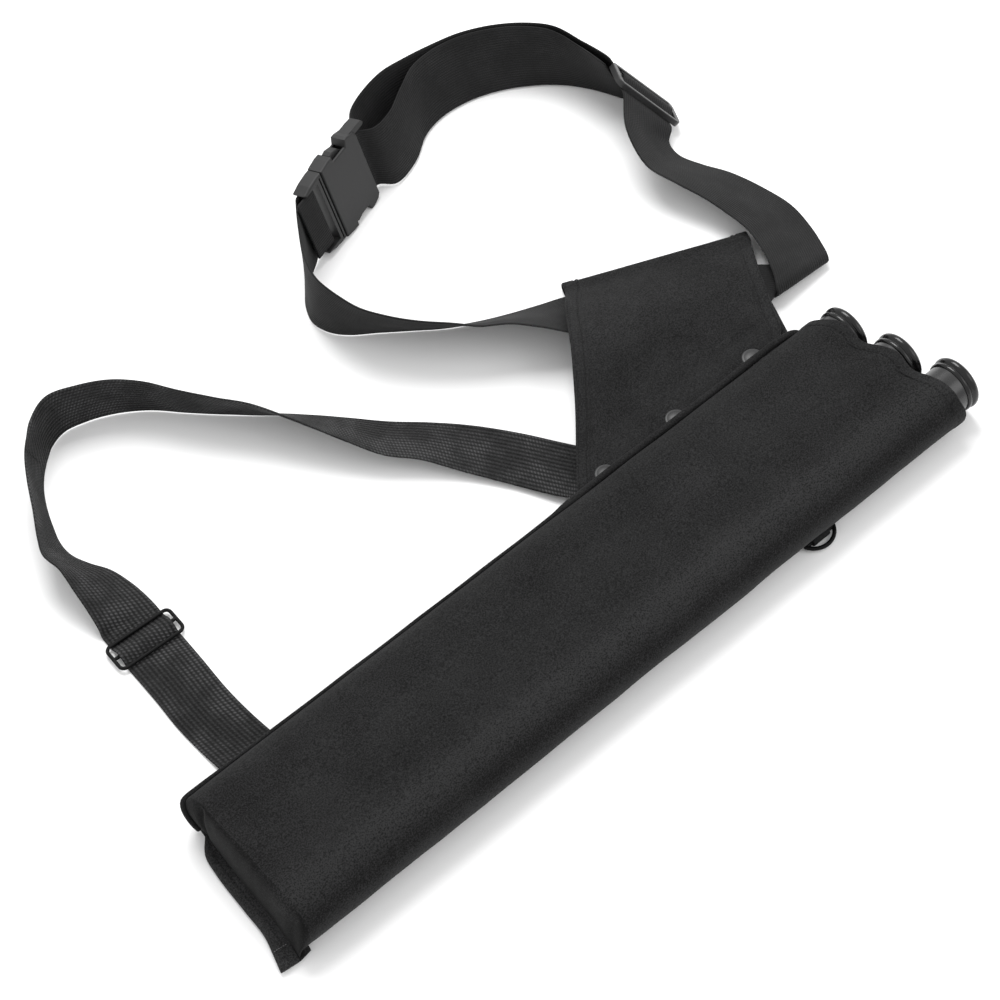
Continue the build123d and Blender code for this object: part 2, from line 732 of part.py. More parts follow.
def make_shoulder_strap():
    """The shoulder strap, from under the flap round its loop to the foot of the seam."""
    webbing("shoulder_strap_loop", [
        strap(88, 73, 7, -39, -7, -1),
        strap(70, 99, 6, -32, -24, -1),
        strap(51, 130, 4, -31, -25, 0),
        strap(32, 157, 2, -30, -26, 5),
        strap(13, 178, 1, -29, -25, 13),
        strap(-7, 197, 1, -26, -26, 16),
        strap(-22, 213, 1, -23, -24, 22),
        strap(-39, 231, 1, -18, -22, 28),
        strap(-55, 247, 1, -13, -19, 32),
        strap(-71, 261, 1, -9, -14, 37),
        strap(-87, 276, 1, -7, -11, 38),
        strap(-103, 292, 1, -5, -8, 39),
        strap(-120, 309, 1, -2, -4, 40),
        strap(-138, 321, 1, 0, 0, 40),
        strap(-155, 328, 1, -1, 3, 40),
        strap(-171, 331, 1, -4, 6, 39),
        strap(-186, 326, 1, -7, 3, 39),
        strap(-198, 316, 1, -11, -3, 38),
        strap(-208, 304, 1, -13, -9, 37),
        strap(-215, 291, 1, -16, -15, 33),
        strap(-220, 278, 1, -20, -18, 29),
        strap(-224, 265, 1, -21, -17, 29),
        strap(-224, 252, 1, -20, -18, 30),
        strap(-219, 240, 1, -25, -13, 28),
        strap(-212, 228, 1, -32, -8, 22),
        strap(-208, 212, 1, -37, -5, 15),
        strap(-206.5, 198, 1.1, -39, -3, 7),
        at_strap_slider(-18, -2.3),
        at_strap_slider(-14, -2.3),
    ], STRAP_WIDTH)
    webbing("shoulder_strap_adjuster", [
        at_strap_slider(-13.7, -2.3),
        at_strap_slider(-8.4, -2.3),
        at_strap_slider(-1.6, 2.3),
        at_strap_slider(1.6, 2.3),
        at_strap_slider(8.4, -2.3),
        at_strap_slider(14, -2.4),
        strap(-208.5, 138, 1, -40, -3, 0),
        strap(-210, 112, 1, -40, -2, 0),
        strap(-209.5, 88, 1.2, -40, -1, 0),
        strap(-208.2, 66, 3.2, -40, 0, 0),
        strap(-208, 57, 6.6, -40, 0, 0),
    ], STRAP_WIDTH)


make_sleeve()
make_back_seam()
make_bottom_hem()
for index, (tube_y, ring_start) in enumerate(zip(TUBE_Y, RING_START_X)):
    make_tube(index + 1, tube_y, ring_start)
make_hanger()
make_snaps()
make_female_buckle()
make_male_buckle()
make_latch_arm("latch_arm_upper", -1)
make_latch_arm("latch_arm_lower", 1)
make_belt_slider()
make_strap_slider()
make_d_ring()
make_belt()
make_shoulder_strap()
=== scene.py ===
"""Looks of a three-tube archery quiver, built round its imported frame.

Row frame: +X along the tubes toward their mouths, +Y toward the back seam, +Z up.
Lengths in the tables are millimetres and are scaled to metres where a mesh is made.
"""

import math

import bmesh
import bpy
import numpy as np
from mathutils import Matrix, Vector, noise


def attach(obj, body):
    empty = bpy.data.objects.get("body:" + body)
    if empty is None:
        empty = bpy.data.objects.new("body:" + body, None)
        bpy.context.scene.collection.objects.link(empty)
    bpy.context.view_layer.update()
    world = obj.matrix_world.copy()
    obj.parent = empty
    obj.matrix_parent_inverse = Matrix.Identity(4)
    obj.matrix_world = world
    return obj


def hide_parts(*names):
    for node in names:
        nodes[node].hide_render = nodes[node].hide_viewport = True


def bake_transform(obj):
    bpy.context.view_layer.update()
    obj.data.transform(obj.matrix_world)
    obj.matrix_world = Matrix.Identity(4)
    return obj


MM = 0.001

# ---------------------------------------------------------------- camera first
camera_data = bpy.data.cameras.new("camera")
camera = bpy.data.objects.new("camera", camera_data)
bpy.context.scene.collection.objects.link(camera)
bpy.context.scene.camera = camera
AIM = Vector((0.008, 0.103, 0.0))
ELEVATION = math.radians(58.0)
HEADING = math.radians(41.62)
DISTANCE = 1.806
LOOK = Vector((
    math.sin(HEADING) * math.cos(ELEVATION),
    math.cos(HEADING) * math.cos(ELEVATION),
    -math.sin(ELEVATION),
))
camera.location = AIM - LOOK * DISTANCE
camera.rotation_euler = LOOK.to_track_quat("-Z", "Y").to_euler()
camera_data.lens = 100.8
camera_data.sensor_width = 36.0
camera_data.clip_start = 0.05
camera_data.clip_end = 50.0

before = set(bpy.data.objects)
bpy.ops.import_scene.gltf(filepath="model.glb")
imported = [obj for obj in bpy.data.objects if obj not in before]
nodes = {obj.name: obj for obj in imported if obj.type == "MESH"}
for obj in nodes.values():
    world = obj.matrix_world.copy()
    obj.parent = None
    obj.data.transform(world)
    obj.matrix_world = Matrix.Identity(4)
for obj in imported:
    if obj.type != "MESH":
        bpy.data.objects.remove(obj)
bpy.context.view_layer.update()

# ---------------------------------------------------------------- sizes shared with the frame
TUBE_Z = 20.5
FLAT = 38.5
SLEEVE_R = 20.5
HALF = FLAT + SLEEVE_R
MOUTH_FRONT_X = 266.5
MOUTH_BACK_X = 237.5
BELT = 50.0
STRAP = 40.0
PANEL_ROOT_Z = 12.0
PANEL_SLOPE = 0.07
PANEL_GAP = 4.2


# ---------------------------------------------------------------- curves and bands
def spline(rows, step):
    """Smooth rows of numbers, evenly spaced along the first three columns."""
    rows = np.array(rows, float)
    chord = np.linalg.norm(np.diff(rows[:, :3], axis=0), axis=1)
    other = np.linalg.norm(np.diff(rows[:, 3:6], axis=0), axis=1) if rows.shape[1] >= 6 else chord
    gap = np.maximum(0.5 * (chord + other), 1e-6) ** 0.6
    slope = np.diff(rows, axis=0) / gap[:, None]
    tangent = np.empty_like(rows)
    tangent[0] = slope[0]
    tangent[-1] = slope[-1]
    for i in range(1, len(rows) - 1):
        a, b = gap[i - 1], gap[i]
        tangent[i] = (slope[i - 1] * b + slope[i] * a) / (a + b)
    fine = []
    for i in range(len(rows) - 1):
        count = 24
        for k in range(count):
            s = k / count
            h = gap[i]
            fine.append(
                (2 * s**3 - 3 * s**2 + 1) * rows[i]
                + (s**3 - 2 * s**2 + s) * h * tangent[i]
                + (-2 * s**3 + 3 * s**2) * rows[i + 1]
                + (s**3 - s**2) * h * tangent[i + 1]
            )
    fine.append(rows[-1])
    fine = np.array(fine)
    if fine.shape[1] >= 6:
        middle = (fine[:, :3] + fine[:, 3:6]) / 2
    else:
        middle = fine[:, :3]
    along = np.concatenate([[0.0], np.cumsum(np.linalg.norm(np.diff(middle, axis=0), axis=1))])
    count = max(int(round(along[-1] / step)), 2)
    at = np.linspace(0, along[-1], count + 1)
    return np.stack([np.interp(at, along, fine[:, c]) for c in range(fine.shape[1])], axis=1), at


def mesh_object(name, points, faces, uvs=None):
    """A smooth-shaded mesh from points in millimetres."""
    mesh = bpy.data.meshes.new(name)
    mesh.from_pydata([tuple(p * MM) for p in np.asarray(points, float)], [], faces)
    mesh.update()
    if uvs is not None:
        layer = mesh.uv_layers.new(name="cloth")
        flat = np.zeros(len(mesh.loops) * 2)
        i = 0
        for face in uvs:
            for u, w in face:
                flat[i] = u
                flat[i + 1] = w
                i += 2
        layer.data.foreach_set("uv", flat)
    mesh.polygons.foreach_set("use_smooth", [True] * len(mesh.polygons))
    obj = bpy.data.objects.new(name, mesh)
    bpy.context.scene.collection.objects.link(obj)
    return obj


def band(name, rows, thick, across, relief=None, step=2.0, edge=0.35, shares=None):
    """A cloth or webbing band between two edges, given row by row as left then right.

    relief(along, side, left, right) returns how far the middle and each face are moved out,
    with along and the distances from both edges in millimetres.
    """
    line, at = spline(rows, step)
    left, right = line[:, :3], line[:, 3:6]
    middle = (left + right) / 2
    ahead = np.gradient(middle, axis=0)
    side = right - left
    width = np.linalg.norm(side, axis=1, keepdims=True)
    side = side / width
    normal = np.cross(ahead, side)
    normal /= np.linalg.norm(normal, axis=1, keepdims=True) + 1e-12
    shares = np.linspace(0, 1, across + 1) if shares is None else shares
    across = len(shares) - 1
    points, crown = [], []
    ring = 2 * (across + 1)
    for i in range(len(line)):
        w = float(width[i, 0])
        top, under = [], []
        for share in shares:
            base = left[i] * (1 - share) + right[i] * share
            near = min(share, 1 - share) * w
            soft = math.sqrt(max(0.0, 1 - (1 - min(near / (edge * 3), 1.0)) ** 2))
            half = thick / 2 * (0.25 + 0.75 * soft)
            shift, grow = (0.0, 0.0) if relief is None else relief(at[i], share * w, w, at[-1])
            top.append(base + normal[i] * (shift + half + grow))
            under.append(base + normal[i] * (shift - half - grow))
        points += top + under[::-1]
        crown.append([(p, normal[i]) for p in top])
    faces, uvs = [], []

    def place(i, k):
        share = shares[k] if k <= across else shares[ring - 1 - k]
        return at[i] * MM, share * float(width[i, 0]) * MM

    for i in range(len(line) - 1):
        for k in range(ring):
            n = (k + 1) % ring
            faces.append((i * ring + k, i * ring + n, (i + 1) * ring + n, (i + 1) * ring + k))
            uvs.append((place(i, k), place(i, n), place(i + 1, n), place(i + 1, k)))
    for i, flip in ((0, True), (len(line) - 1, False)):
        for k in range(across):
            quad = [i * ring + k, i * ring + k + 1, i * ring + ring - 2 - k, i * ring + ring - 1 - k]
            where = [place(i, k), place(i, k + 1), place(i, k + 1), place(i, k)]
            if not flip:
                quad, where = quad[::-1], where[::-1]
            faces.append(tuple(quad))
            uvs.append(tuple(where))
    obj = mesh_object(name, points, faces, uvs)
    tidy = bmesh.new()
    tidy.from_mesh(obj.data)
    bmesh.ops.recalc_face_normals(tidy, faces=tidy.faces)
    tidy.to_mesh(obj.data)
    tidy.free()
    return obj, float(at[-1]), crown


def leaning(stations, width):
    """Rows for a webbing band from stations: table edge, and the way to the other edge."""
    rows = []
    for x, y, z, dx, dy, dz in stations:
        low = Vector((x, y, z))
        high = low + Vector((dx, dy, dz)).normalized() * width
        rows.append([*low, *high])
    return rows


def tube_along(name, path, radius, sides=10, step=2.0, squash=1.0):
    """A round or flattened cord swept along a path."""
    line, at = spline(path, step)
    ahead = np.gradient(line[:, :3], axis=0)
    ahead /= np.linalg.norm(ahead, axis=1, keepdims=True) + 1e-12
    up = np.array([0.0, 0.0, 1.0])
    points, faces = [], []
    for i, centre in enumerate(line[:, :3]):
        one = np.cross(ahead[i], up)
        if np.linalg.norm(one) < 0.2:
            one = np.cross(ahead[i], np.array([0.0, 1.0, 0.0]))
        one /= np.linalg.norm(one)
        two = np.cross(one, ahead[i])
        r = radius(at[i] / at[-1]) if callable(radius) else radius
        for k in range(sides):
            a = 2 * math.pi * k / sides
            points.append(centre + one * r * math.cos(a) + two * r * squash * math.sin(a))
    for i in range(len(line) - 1):
        for k in range(sides):
            n = (k + 1) % sides
            faces.append((i * sides + k, i * sides + n, (i + 1) * sides + n, (i + 1) * sides + k))
    faces.append(tuple(range(sides))[::-1])
    faces.append(tuple((len(line) - 1) * sides + k for k in range(sides)))
    return mesh_object(name, points, faces)


def stitches(name, paths, pitch=3.2, length=2.1, radius=0.28):
    """Short raised threads along each path."""
    points, faces = [], []
    for path in paths:
        line, at = spline(path, 0.5)
        count = int(at[-1] / pitch)
        for j in range(count):
            begin, end = j * pitch, j * pitch + length
            ends = [
                np.array([np.interp(d, at, line[:, c]) for c in range(3)])
                for d in (begin, (begin + end) / 2, end)
            ]
            ahead = ends[2] - ends[0]
            ahead /= np.linalg.norm(ahead) + 1e-12
            one = np.cross(ahead, [0.0, 0.0, 1.0])
            if np.linalg.norm(one) < 0.2:
                one = np.cross(ahead, [0.0, 1.0, 0.0])
            one /= np.linalg.norm(one)
            two = np.cross(one, ahead)
            first = len(points)
            for centre, r in zip(ends, (0.45, 1.0, 0.45)):
                for k in range(6):
                    a = math.pi * k / 3
                    points.append(centre + (one * math.cos(a) + two * math.sin(a)) * radius * r)
            for ring in range(2):
                for k in range(6):
                    n = (k + 1) % 6
                    a = first + ring * 6
                    faces.append((a + k, a + n, a + 6 + n, a + 6 + k))
            faces.append(tuple(first + k for k in range(6))[::-1])
            faces.append(tuple(first + 12 + k for k in range(6)))
    return mesh_object(name, points, faces)


# ---------------------------------------------------------------- materials
def new_material(name):
    """An empty material with a Principled shader."""
    mat = bpy.data.materials.new(name)
    mat.use_nodes = True
    tree = mat.node_tree
    shader = tree.nodes["Principled BSDF"]
    return mat, tree, shader


def link(tree, a, b):
    tree.links.new(a, b)


def math_node(tree, kind, a, b=None):
    """A maths node whose inputs are sockets or numbers."""
    node = tree.nodes.new("ShaderNodeMath")
    node.operation = kind
    for i, value in enumerate((a, b)):
        if value is None:
            continue
        if isinstance(value, (int, float)):
            node.inputs[i].default_value = value
        else:
            link(tree, value, node.inputs[i])
    return node.outputs[0]


def plus(tree, a, b):
    return math_node(tree, "ADD", a, b)


def minus(tree, a, b):
    return math_node(tree, "SUBTRACT", a, b)


def times(tree, a, b):
    return math_node(tree, "MULTIPLY", a, b)


def noise_node(tree, vector, scale, detail=3.0, rough=0.55):
    node = tree.nodes.new("ShaderNodeTexNoise")
    node.inputs["Scale"].default_value = scale
    node.inputs["Detail"].default_value = detail
    node.inputs["Roughness"].default_value = rough
    link(tree, vector, node.inputs["Vector"])
    return node.outputs["Fac"]


def tinted(tree, shader, factor, dark, light):
    """Base colour between two greys by a factor."""
    mix = tree.nodes.new("ShaderNodeMix")
    mix.data_type = "RGBA"
    mix.inputs["A"].default_value = (*dark, 1)
    mix.inputs["B"].default_value = (*light, 1)
    link(tree, factor, mix.inputs["Factor"])
    link(tree, mix.outputs["Result"], shader.inputs["Base Color"])


def bumped(tree, shader, height, strength, distance):
    bump = tree.nodes.new("ShaderNodeBump")
    bump.inputs["Strength"].default_value = strength
    bump.inputs["Distance"].default_value = distance
    link(tree, height, bump.inputs["Height"])
    link(tree, bump.outputs["Normal"], shader.inputs["Normal"])


def soft_bell(tree, value, centre, width):
    """A rounded bump of 1 at centre, falling to 0 over about a width and a half."""
    away = times(tree, minus(tree, value, centre), 1 / width)
    square = times(tree, away, away)
    return math_node(tree, "DIVIDE", 1.0, plus(tree, 1.0, times(tree, square, square)))


def woven(
    name, dark, light, pitch=0.9, roughness=0.9, sheen=0.02, mottle=0.5, uv=False, depth=0.25, sleeve_painted_light=False
):
    """A plain-weave cloth with grain and slow mottling; on the sleeve it adds painted light: a speckled painted
    highlight along the crest, painted shade in the front groove, painted rim light down both sides and painted
    shade on the foot's end face.
    """
    mat, tree, shader = new_material(name)
    coordinates = tree.nodes.new("ShaderNodeTexCoord")
    vector = coordinates.outputs["UV" if uv else "Object"]
    split = tree.nodes.new("ShaderNodeSeparateXYZ")
    link(tree, vector, split.inputs[0])
    k = 2 * math.pi / (pitch * MM)
    one = math_node(tree, "SINE", times(tree, split.outputs[0], k))
    two = math_node(tree, "SINE", times(tree, split.outputs[1], k))
    weave = times(tree, one, two)
    grain = noise_node(tree, coordinates.outputs["Object"], 1050.0, 3.0, 0.7)
    patches = noise_node(tree, coordinates.outputs["Object"], 24.0, 4.0, 0.6)
    height = plus(tree, times(tree, weave, 0.35), grain)
    bumped(tree, shader, height, 0.8, depth * MM)
    spread = times(tree, minus(tree, grain, 0.5), 4.8 * (1 - mottle))
    slow = times(tree, minus(tree, patches, 0.5), 2.4 * mottle)
    spread = plus(tree, plus(tree, spread, slow), 0.42)
    if sleeve_painted_light:
        place = tree.nodes.new("ShaderNodeSeparateXYZ")
        link(tree, coordinates.outputs["Object"], place.inputs[0])
        x, y, z = place.outputs
        # Painted highlight: a lighter band along the crest over the front tube, speckled by the grain.
        flecks = times(tree, minus(tree, grain, 0.42), 6.0)
        above_crest, above_band = 0.03, 0.02
        crest_fleck_highlight = plus(tree, times(tree, flecks, 0.42), 0.12)
        on_top = math_node(tree, "GREATER_THAN", z, above_crest)
        crest_highlight = times(tree, soft_bell(tree, y, -0.0385, 0.0085), on_top)
        spread = plus(tree, spread, times(tree, crest_highlight, crest_fleck_highlight))
        # Painted shade: a dark band in the groove below the crest.
        on_front = math_node(tree, "GREATER_THAN", z, above_band)
        painted_groove_shade = times(tree, soft_bell(tree, y, -0.0535, 0.0028), on_front)
        spread = minus(tree, spread, times(tree, painted_groove_shade, 0.22))
        # Painted rim light: lighter bands down the back and front sides of the cover.
        back_rim_light = soft_bell(tree, y, 0.0565, 0.0022)
        spread = plus(tree, spread, times(tree, back_rim_light, 0.28))
        front_rim_light = soft_bell(tree, y, -0.0605, 0.0024)
        spread = plus(tree, spread, times(tree, front_rim_light, 0.35))
        # Painted shade: the foot's end face, slanting back with height, is darker.
        leaning_x = plus(tree, x, times(tree, minus(tree, 0.041, z), 0.15))
        foot = math_node(tree, "LESS_THAN", leaning_x, -0.2800)
        spread = minus(tree, spread, times(tree, foot, 0.3))
    tinted(tree, shader, spread, dark, light)
    shader.inputs["Roughness"].default_value = roughness
    shader.inputs["Specular IOR Level"].default_value = 0.15
    shader.inputs["Sheen Weight"].default_value = sheen
    shader.inputs["Sheen Roughness"].default_value = 0.5
    return mat


def ribbed(name, dark, light, rib_pitch, tick_pitch, roughness=0.75, ticks=0.6, depth=0.35):
    """Webbing: ribs along its length, with a short woven tick on each rib; painted shade darkens the grooves
    between the ribs and painted highlights light the raised ticks in patches.
    """
    mat, tree, shader = new_material(name)
    coordinates = tree.nodes.new("ShaderNodeTexCoord")
    split = tree.nodes.new("ShaderNodeSeparateXYZ")
    link(tree, coordinates.outputs["UV"], split.inputs[0])
    across = times(tree, split.outputs[1], 2 * math.pi / (rib_pitch * MM))
    rib = math_node(tree, "MULTIPLY_ADD", math_node(tree, "COSINE", across), -0.5)
    rib.node.inputs[2].default_value = 0.5
    along = times(tree, split.outputs[0], 2 * math.pi / (tick_pitch * MM))
    half = times(tree, across, 0.5)
    tick = math_node(tree, "SINE", plus(tree, along, half))
    tick = math_node(tree, "MULTIPLY_ADD", tick, 0.5)
    tick.node.inputs[2].default_value = 0.5
    sharp = math_node(tree, "POWER", tick, 2.0)
    dots = times(tree, rib, sharp)
    grain = noise_node(tree, coordinates.outputs["Object"], 900.0, 2.0, 0.6)
    patches = noise_node(tree, coordinates.outputs["Object"], 40.0, 3.0, 0.6)
    height = plus(tree, rib, times(tree, dots, ticks))
    bumped(tree, shader, height, 0.9, depth * MM)
    # Painted highlight: lighter specks on the raised ticks, in patches.
    speck_patches = times(tree, minus(tree, patches, 0.44), 4.5)
    speck_patches.node.use_clamp = True
    painted_speck_highlight = times(tree, times(tree, dots, speck_patches), ticks)
    # Painted shade: the grooves between the ribs are darker than the rib tops.
    shade = plus(tree, painted_speck_highlight, times(tree, rib, 0.22))
    shade = plus(tree, shade, times(tree, minus(tree, grain, 0.4), 0.5))
    shade = plus(tree, shade, times(tree, minus(tree, patches, 0.5), 0.3))
    tinted(tree, shader, shade, dark, light)
    shader.inputs["Roughness"].default_value = roughness
    shader.inputs["Specular IOR Level"].default_value = 0.2
    shader.inputs["Sheen Weight"].default_value = 0.02
    return mat


def moulded(name, dark, light, roughness, scale=300.0, specular=0.5, scratch=0.05, coat=0.0):
    """Plastic or lacquer with fine grain, soft dirt and varied gloss."""
    mat, tree, shader = new_material(name)
    coordinates = tree.nodes.new("ShaderNodeTexCoord")
    grain = noise_node(tree, coordinates.outputs["Object"], scale * 4, 3.0, 0.6)
    patches = noise_node(tree, coordinates.outputs["Object"], 45.0, 4.0, 0.6)
    bumped(tree, shader, grain, 0.25, scratch * MM)
    tinted(tree, shader, times(tree, minus(tree, patches, 0.3), 2.2), dark, light)
    low, high = roughness - 0.08, roughness + 0.1
    gloss = math_node(tree, "MULTIPLY_ADD", patches, high - low)
    gloss.node.inputs[2].default_value = low
    link(tree, gloss, shader.inputs["Roughness"])
    shader.inputs["Specular IOR Level"].default_value = specular
    shader.inputs["Coat Weight"].default_value = coat
    return mat


def grey(value):
    return (value, value, value * 1.02)


cover_cloth = woven("cover_cloth", grey(0.004), grey(0.0245), 0.9, 0.92, 0.02, 0.28, sleeve_painted_light=True)
panel_cloth = woven("panel_cloth", grey(0.005), grey(0.029), 0.9, 0.92, 0.02, 0.36, uv=True)
# Painted light: the hem's greys are lifted well above the cover's to offset the shade the hem sits in.
hem_cloth = woven("hem_cloth", grey(0.008), grey(0.052), 1.2, 0.88, 0.02, 0.4)
binding_cloth = woven("binding_cloth", grey(0.003), grey(0.020), 1.2, 0.85, 0.02, 0.4)
foam = woven("foam", grey(0.05), grey(0.12), 1.6, 1.0, 0.0, 0.6, depth=0.5)
belt_web = ribbed("belt_web", grey(0.007), grey(0.034), 1.9, 1.5, 0.8, 0.5, 0.12)
strap_web = ribbed("strap_web", grey(0.003), grey(0.072), 2.9, 2.3, 0.8, 1.0, 0.4)
thread = moulded("thread", grey(0.004), grey(0.010), 0.8, 600.0, 0.2)
tack_thread = moulded("tack_thread", grey(0.10), grey(0.18), 0.8, 600.0, 0.2)
tube_gloss = moulded("tube_gloss", grey(0.014), grey(0.03), 0.28, 200.0, 0.5, 0.03)
ring_gloss = moulded("ring_gloss", grey(0.004), grey(0.008), 0.2, 200.0, 0.34, 0.02, 0.08)
plug_matte = moulded("plug_matte", grey(0.02), grey(0.03), 0.6)
buckle_matte = moulded("buckle_matte", grey(0.009), grey(0.017), 0.5, 260.0, 0.36, 0.08)
slider_matte = moulded("slider_matte", grey(0.014), grey(0.026), 0.42, 260.0, 0.45, 0.06)
wire_black = moulded("wire_black", grey(0.002), grey(0.005), 0.5, 300.0, 0.12, 0.04)
cap_lacquer = moulded("cap_lacquer", grey(0.018), grey(0.034), 0.42, 260.0, 0.4, 0.03)


def wear(obj, mat):
    """Give a piece its material."""
    obj.data.materials.clear()
    obj.data.materials.append(mat)
    return obj


def lump(x, y, z, size, seed=0.0):
    """Slow random value from -1 to 1 at a place in millimetres."""
    return noise.noise(Vector((x / size + seed, y / size - seed, z / size)))


def bell(value, width):
    return math.exp(-((value / width) ** 2))


def step_down(value, softness):
    """1 well below zero, 0 well above it, with a soft change between."""
    return 0.5 - 0.5 * math.tanh(value / (2 * softness))


# ---------------------------------------------------------------- sleeve
def stadium(count):
    """Points (y, z) and outward normals round the sleeve, from the back seam over the top."""
    arc = math.pi * SLEEVE_R
    flat = 2 * FLAT
    total = 2 * arc + 2 * flat
    start = SLEEVE_R * math.radians(65)
    result = []
    for i in range(count):
        d = (i / count * total + arc - start) % total
        if d < arc:
            a = -math.pi / 2 + d / SLEEVE_R
            ny, nz = math.cos(a), math.sin(a)
            result.append((FLAT + SLEEVE_R * ny, TUBE_Z + SLEEVE_R * nz, ny, nz))
        elif d < arc + flat:
            result.append((FLAT - (d - arc), TUBE_Z + SLEEVE_R, 0.0, 1.0))
        elif d < 2 * arc + flat:
            a = math.pi / 2 + (d - arc - flat) / SLEEVE_R
            ny, nz = math.cos(a), math.sin(a)
            result.append((-FLAT + SLEEVE_R * ny, TUBE_Z + SLEEVE_R * nz, ny, nz))
        else:
            result.append((-FLAT + (d - 2 * arc - flat), TUBE_Z - SLEEVE_R, 0.0, -1.0))
    return result


def mouth_x(y):
    """How far the slanted mouth reaches at a place across the sleeve, with a tongue over each tube."""
    slanted = MOUTH_FRONT_X - (MOUTH_FRONT_X - MOUTH_BACK_X) * (y + HALF) / (2 * HALF)
    return slanted + 1.4 * bell(y, 50) + 5.5 * bell(y - 37, 13) + 5.2 * bell(y, 12) + 1.0 * bell(y + 38, 12)


def foot_x(z):
    return -282.5 + 1.5 * z / 41.0


SEAM_LINE = [(-281, 44), (-283, 33), (-285, 5), (-286.5, -29), (-290, -55)]


def seam_x(y):
    """Plan position of the seam that closes the foot."""
    ys = [p[1] for p in SEAM_LINE][::-1]
    xs = [p[0] for p in SEAM_LINE][::-1]
    return float(np.interp(y, ys, xs))


def sleeve_point(u, y, z, ny, nz, inset=0.0):
    """A place on the padded cover: u runs from the foot to the mouth."""
    begin, end = foot_x(z), mouth_x(y)
    x = begin + (end - begin) * u
    to_mouth = end - x
    from_foot = x - begin
    top = max(0.0, nz)
    out = 0.0
    round_front = math.degrees(math.atan2(-ny, nz)) if ny < 0 else 0.0
    out -= top * 0.8 * (bell(y - 20, 9) + 1.4 * bell(y + 18, 10))
    out += top * 0.9 * bell(y + 37, 10)
    out -= 1.1 * bell(round_front - 50, 12) * (1 + 0.35 * lump(x, 0, 0, 45, 8.0))
    out += 0.5 * bell(round_front - 82, 14)
    between_tubes = bell(y - 20.4, 7) + bell(y + 17.8, 7)
    out -= (0.3 + 0.7 * top) * 2.1 * math.exp(-to_mouth / 15) * between_tubes * abs(nz)
    calm = 1 - bell(y - 57.2, 5) * (1 if z > 12 else 0)
    out += 0.75 * lump(x, y * 1.4, z * 1.4, 58, 3.1) * (calm if nz > -0.5 else 0.15)
    out += 0.35 * lump(x, y * 2, z, 21, 7.7) * (calm if nz > -0.5 else 0.1)
    out += top * 0.45 * math.sin((x + 0.55 * y) / 13.0 + 2.2 * lump(x, y, 0, 90, 1.0)) * bell(x - 40, 120)
    out -= 1.2 * math.exp(-from_foot / 9) * (0.5 + 0.5 * lump(x, y * 3, z * 3, 16, 5.0))
    out += 0.45 * step_down(to_mouth - 8.5, 0.6)
    out -= 0.4 * bell(to_mouth - 7.2, 0.9)
    if nz < -0.5:
        out = min(out, 0.0) * 0.2
    out -= inset
    return np.array([x, y + ny * out, max(z + nz * out, 0.15)])


def make_liner(profile):
    """The foam between the cover and the tubes, seen only with the tubes drawn."""
    points, faces = [], []
    stops = ((-276.0, 2.6), (252.0 - 18.0, 2.6), (252.0 - 18.0, 3.35), (-276.0, 3.35))
    count = len(profile)
    for x, inset in stops:
        for y, z, ny, nz in profile:
            lean = (mouth_x(y) - 252.0) if x > 0 else 0.0
            points.append(np.array([x + lean, y - ny * inset, z - nz * inset]))
    for i in range(4):
        j = (i + 1) % 4
        for k in range(count):
            n = (k + 1) % count
            faces.append((i * count + k, j * count + k, j * count + n, i * count + n))
    obj = mesh_object("foam_liner", points, faces)
    wear(obj, foam)
    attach(obj, "quiver")
    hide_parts("padded_liner")


